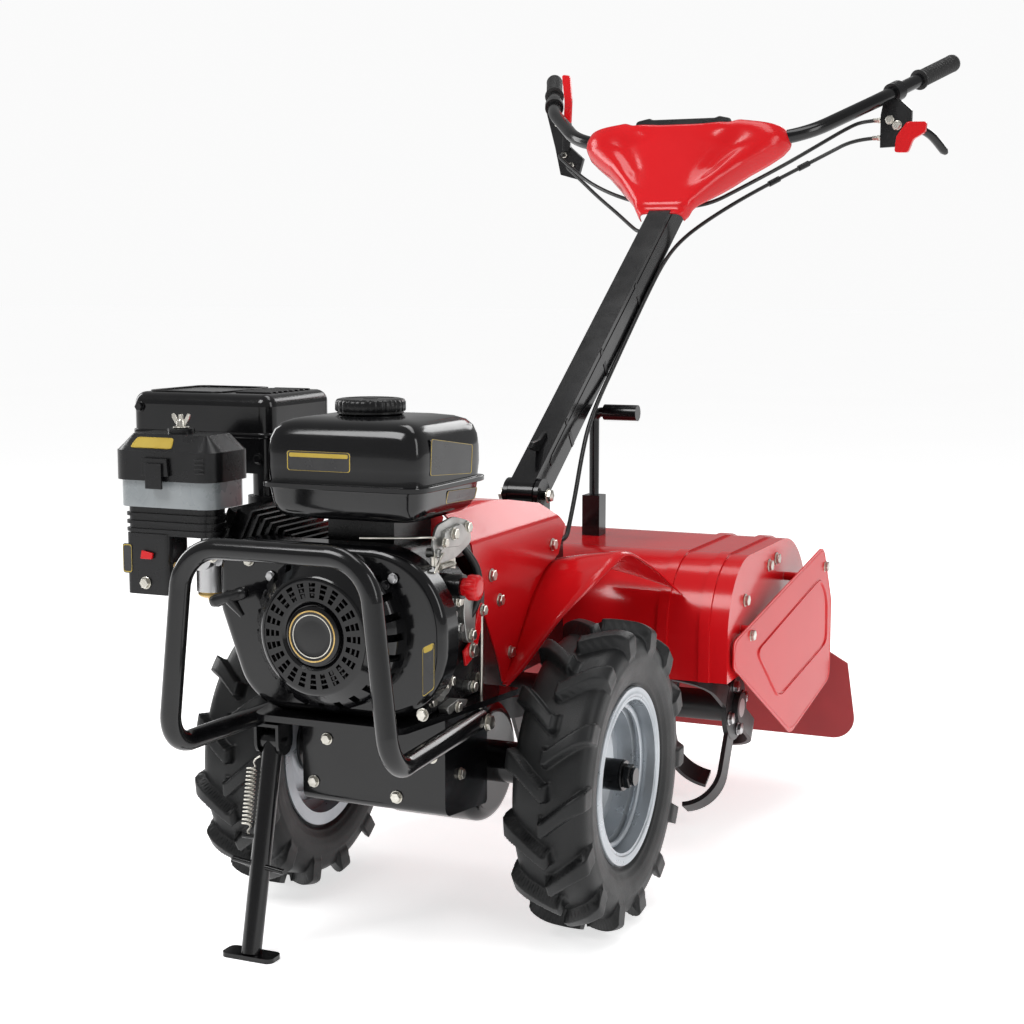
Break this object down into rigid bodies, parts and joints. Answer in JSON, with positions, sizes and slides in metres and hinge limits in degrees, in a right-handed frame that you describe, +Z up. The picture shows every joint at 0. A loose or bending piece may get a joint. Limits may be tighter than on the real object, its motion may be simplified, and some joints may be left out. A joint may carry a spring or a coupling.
{
  "type": "two-wheeled garden tiller",
  "caption": "Walk-behind garden tiller: engine behind a bull bar, two lugged drive wheels, hooded rear tine rotor, folding stand and a raised handlebar on a mast.",
  "frame": {"origin": "centre of the overall box, at floor level", "axes": "+X forward to the bull bar, +Y to the machine's left, +Z up"},
  "size_m": [1.8502, 0.8586, 1.2867],
  "materials": {
    "tyre_rubber": "matt black rubber with a dusty tread",
    "galvanised_steel": "zinc-plated pressed steel",
    "red_paint": "glossy red enamel",
    "black_paint": "semi-gloss black enamel",
    "black_gloss": "glossy black enamel",
    "engine_aluminium": "black-painted die casting",
    "black_plastic": "moulded black plastic",
    "grey_plastic": "smoky moulded plastic",
    "grip_rubber": "ribbed soft rubber",
    "bright_steel": "turned steel",
    "tine_steel": "black-painted forged blades",
    "cable_sheath": "smooth black cable sheath"
  },
  "bodies": {
    "machine": {"axle": "bright_steel", "bull_bar": "black_paint", "carburettor": "bright_steel", "carburettor_cover": "black_plastic", "clutch_cover": "red_paint", "crank_socket": "bright_steel", "depth_crank": "bright_steel", "engine_block": "engine_aluminium", "engine_plate": "black_paint", "fan_cowl": "black_gloss", "fender_left": "red_paint", "fender_right": "red_paint", "filter_bowl": "grey_plastic", "filter_cover": "black_plastic", "final_drive": "black_paint", "flap_rod": "black_paint", "fuel_cap": "black_plastic", "fuel_tank": "black_gloss", "gearbox": "black_paint", "lower_case": "black_paint", "mast_bracket": "black_paint", "muffler": "black_paint", "oil_cap": "red_paint", "recoil_starter": "black_gloss", "shield_left": "red_paint", "shield_right": "red_paint", "stand_bracket": "black_paint", "tine_case": "black_paint", "tine_hood": "red_paint"},
    "wheel_left": {"tyre_left": "tyre_rubber", "rim_left": "galvanised_steel", "hub_left": "galvanised_steel"},
    "wheel_right": {"tyre_right": "tyre_rubber", "rim_right": "galvanised_steel", "hub_right": "galvanised_steel"},
    "tine_rotor": {"tine_shaft": "bright_steel", "tine_reel_left": "tine_steel", "tine_reel_right": "tine_steel"},
    "stand": {"stand_leg": "black_paint"},
    "flap": {"rear_flap": "red_paint"},
    "steering_bar": {"bar_bracket": "black_paint", "bar_cover": "red_paint", "cable_left": "cable_sheath", "cable_mast": "cable_sheath", "cable_right_high": "cable_sheath", "cable_right_low": "cable_sheath", "control_left": "black_plastic", "control_right": "black_plastic", "grip_left": "grip_rubber", "grip_right": "grip_rubber", "handlebar": "black_paint", "lever_left": "black_plastic", "lever_right": "red_paint", "mast": "black_paint"}
  },
  "joints": [
    {"name": "wheel_left_spin", "type": "hinge", "parent": "machine", "child": "wheel_left", "pos_m": [0.4706, 0.227, 0.205], "axis": [0, 1, 0], "continuous": true},
    {"name": "wheel_right_spin", "type": "hinge", "parent": "machine", "child": "wheel_right", "pos_m": [0.4706, -0.227, 0.205], "axis": [0, 1, 0], "continuous": true},
    {"name": "tine_rotor_spin", "type": "hinge", "parent": "machine", "child": "tine_rotor", "pos_m": [-0.0544, 0, 0.182], "axis": [0, 1, 0], "continuous": true},
    {"name": "stand_fold", "type": "hinge", "parent": "machine", "child": "stand", "pos_m": [0.7066, -0.13, 0.268], "axis": [0, 1, 0], "range_deg": [0, 60]},
    {"name": "steering_bar_tilt", "type": "hinge", "parent": "machine", "child": "steering_bar", "pos_m": [0.1906, 0, 0.536], "axis": [0, 1, 0], "range_deg": [-5, 8]},
    {"name": "flap_hinge", "type": "hinge", "parent": "machine", "child": "flap", "pos_m": [-0.3394, 0, 0.262], "axis": [0, 1, 0], "range_deg": [0, 60]}
  ]
}
